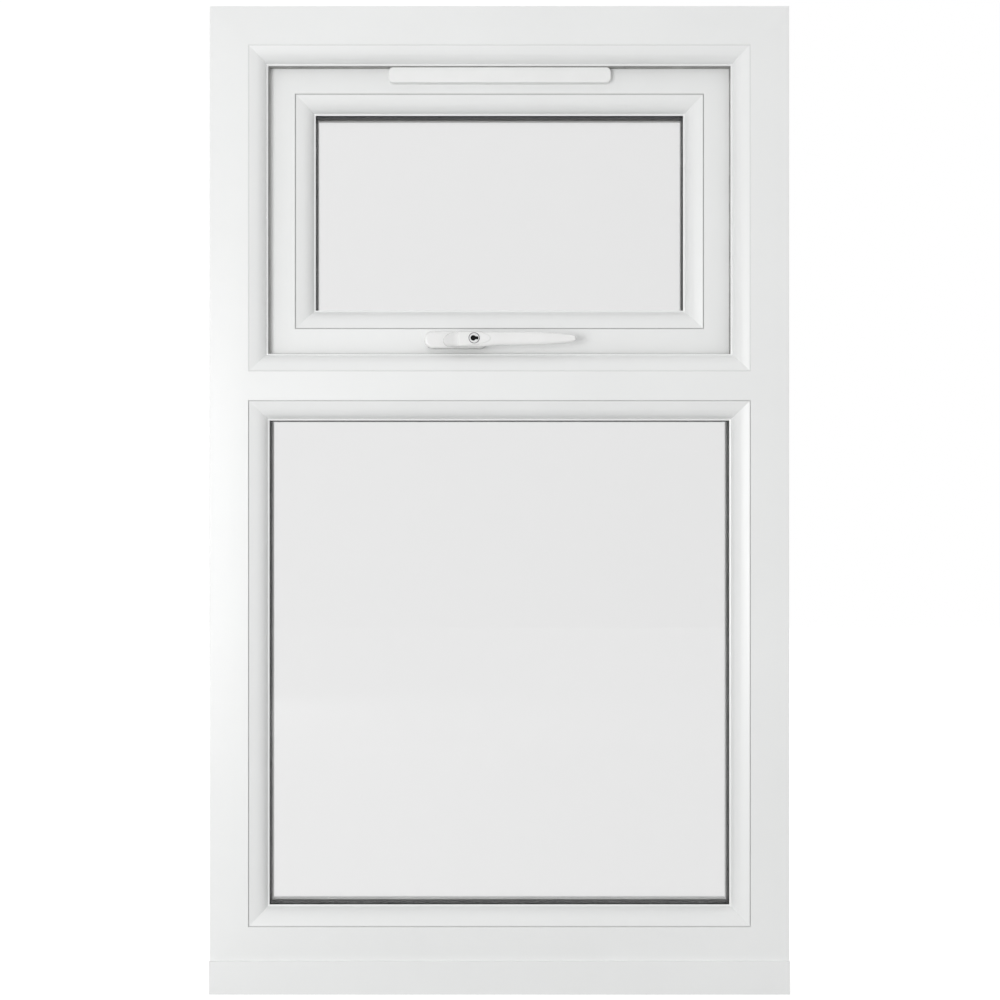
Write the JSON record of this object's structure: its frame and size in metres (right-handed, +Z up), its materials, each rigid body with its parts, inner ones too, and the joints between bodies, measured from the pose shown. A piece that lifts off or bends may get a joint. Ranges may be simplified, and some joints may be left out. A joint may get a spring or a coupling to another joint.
{
  "type": "top-hung window",
  "caption": "White uPVC casement window with a top-hung opener over a fixed pane, ovolo beads, a trickle vent, a locking handle and a projecting cill.",
  "frame": {"origin": "on the underside of the cill, midway along its width and level with the inner face of the frame", "axes": "+X to the right as seen from the room, +Y outwards through the window, +Z up"},
  "size_m": [0.611, 0.1559, 1.04],
  "materials": {
    "frame_upvc": "smooth low-gloss white extrusion with welded mitres",
    "bead_upvc": "smooth low-gloss white extrusion, cut mitres",
    "vent_plastic": "white moulded, satin",
    "glass": "clear float glass",
    "gasket_rubber": "matt black extrusion",
    "spacer": "dark anodised bar with dark sealant behind it",
    "packer_plastic": "hard moulded plastic",
    "handle_paint": "white powder coat, satin",
    "lock_chrome": "bright plated",
    "stay_steel": "pressed ferritic stainless, satin",
    "zinc_steel": "bright zinc plated"
  },
  "bodies": {
    "frame": {"frame_head": "frame_upvc", "frame_jamb_left": "frame_upvc", "frame_jamb_right": "frame_upvc", "frame_sill": "frame_upvc", "transom": "frame_upvc", "cill": "frame_upvc", "cill_end_cap_left": "frame_upvc", "cill_end_cap_right": "frame_upvc", "upstand_seal": "gasket_rubber", "stay_track_left": "stay_steel", "stay_track_right": "stay_steel", "track_rivets": "zinc_steel", "frame_screws": "zinc_steel", "lock_keeps": "stay_steel", "fixed_bead_left": "bead_upvc", "fixed_bead_top": "bead_upvc", "fixed_bead_right": "bead_upvc", "fixed_bead_bottom": "bead_upvc", "fixed_edge_spacer": "spacer", "fixed_inner_gasket": "gasket_rubber", "fixed_outer_gasket": "gasket_rubber", "fixed_inner_pane": "glass", "fixed_outer_pane": "glass", "fixed_packers": "packer_plastic"},
    "sash": {"sash_stile_left": "frame_upvc", "sash_stile_right": "frame_upvc", "sash_top_rail": "frame_upvc", "sash_bottom_rail": "frame_upvc", "weather_seal": "gasket_rubber", "stay_sash_bar_left": "stay_steel", "stay_sash_bar_right": "stay_steel", "sash_rivets": "zinc_steel", "sash_screws": "zinc_steel", "lock_faceplate": "stay_steel", "lock_gearbox": "stay_steel", "handle_base": "handle_paint", "handle_screws": "zinc_steel", "vent_base": "vent_plastic", "vent_canopy": "vent_plastic", "sash_bead_left": "bead_upvc", "sash_bead_top": "bead_upvc", "sash_bead_right": "bead_upvc", "sash_bead_bottom": "bead_upvc", "sash_edge_spacer": "spacer", "sash_inner_gasket": "gasket_rubber", "sash_outer_gasket": "gasket_rubber", "sash_inner_pane": "glass", "sash_outer_pane": "glass", "sash_packers": "packer_plastic"},
    "stay_link_left": {"stay_link_left": "stay_steel"},
    "stay_arm_left": {"stay_arm_left": "stay_steel"},
    "stay_slider_left": {"stay_slider_left": "stay_steel"},
    "stay_link_right": {"stay_link_right": "stay_steel"},
    "stay_arm_right": {"stay_arm_right": "stay_steel"},
    "stay_slider_right": {"stay_slider_right": "stay_steel"},
    "handle": {"handle_lever": "handle_paint", "handle_spindle": "stay_steel"},
    "key_cylinder": {"lock_cylinder": "lock_chrome"},
    "drive_rod": {"lock_rod": "stay_steel"},
    "vent_flap": {"vent_flap": "vent_plastic"}
  },
  "joints": [
    {"name": "window_opening", "type": "hinge", "parent": "frame", "child": "stay_link_left", "pos_m": [-0.2573, 0.03321, 0.93321], "axis": [-1, 0, 0], "range_deg": [0, 45]},
    {"name": "sash_on_left_link", "type": "hinge", "parent": "stay_link_left", "child": "sash", "pos_m": [-0.2573, 0.038, 0.988], "axis": [1, 0, 0], "range_deg": [0, 90]},
    {"name": "left_arm_on_sash", "type": "hinge", "parent": "sash", "child": "stay_arm_left", "pos_m": [-0.2573, 0.038, 0.913], "axis": [-1, 0, 0], "range_deg": [0, 90]},
    {"name": "left_slider_on_arm", "type": "hinge", "parent": "stay_arm_left", "child": "stay_slider_left", "pos_m": [-0.2573, 0.03321, 0.78321], "axis": [1, 0, 0], "range_deg": [0, 45]},
    {"name": "right_link_turn", "type": "hinge", "parent": "frame", "child": "stay_link_right", "pos_m": [0.2573, 0.03321, 0.93321], "axis": [-1, 0, 0], "range_deg": [0, 45]},
    {"name": "right_arm_on_sash", "type": "hinge", "parent": "sash", "child": "stay_arm_right", "pos_m": [0.2573, 0.038, 0.913], "axis": [-1, 0, 0], "range_deg": [0, 90]},
    {"name": "right_slider_on_arm", "type": "hinge", "parent": "stay_arm_right", "child": "stay_slider_right", "pos_m": [0.2573, 0.03321, 0.78321], "axis": [1, 0, 0], "range_deg": [0, 45]},
    {"name": "handle_turn", "type": "hinge", "parent": "sash", "child": "handle", "pos_m": [-0.0474, 0.015, 0.69], "axis": [0, -1, 0], "range_deg": [0, 90]},
    {"name": "rod_slide", "type": "slide", "parent": "sash", "child": "drive_rod", "axis": [1, 0, 0], "range_m": [0, 0.018]},
    {"name": "key_turn", "type": "hinge", "parent": "handle", "child": "key_cylinder", "pos_m": [-0.0265, -0.008, 0.69], "axis": [0, -1, 0], "range_deg": [0, 90]},
    {"name": "vent_flap_tilt", "type": "hinge", "parent": "sash", "child": "vent_flap", "pos_m": [0.00035, 0.0187, 0.9646], "axis": [1, 0, 0], "range_deg": [0, 30]}
  ],
  "couplings": [
    {"joint": "sash_on_left_link", "follows": "window_opening", "ratio": 2},
    {"joint": "left_arm_on_sash", "follows": "window_opening", "ratio": 2},
    {"joint": "left_slider_on_arm", "follows": "window_opening", "ratio": 1},
    {"joint": "right_link_turn", "follows": "window_opening", "ratio": 1},
    {"joint": "right_arm_on_sash", "follows": "window_opening", "ratio": 2},
    {"joint": "right_slider_on_arm", "follows": "window_opening", "ratio": 1},
    {"joint": "rod_slide", "follows": "handle_turn", "m_per_rad": 0.011459}
  ]
}
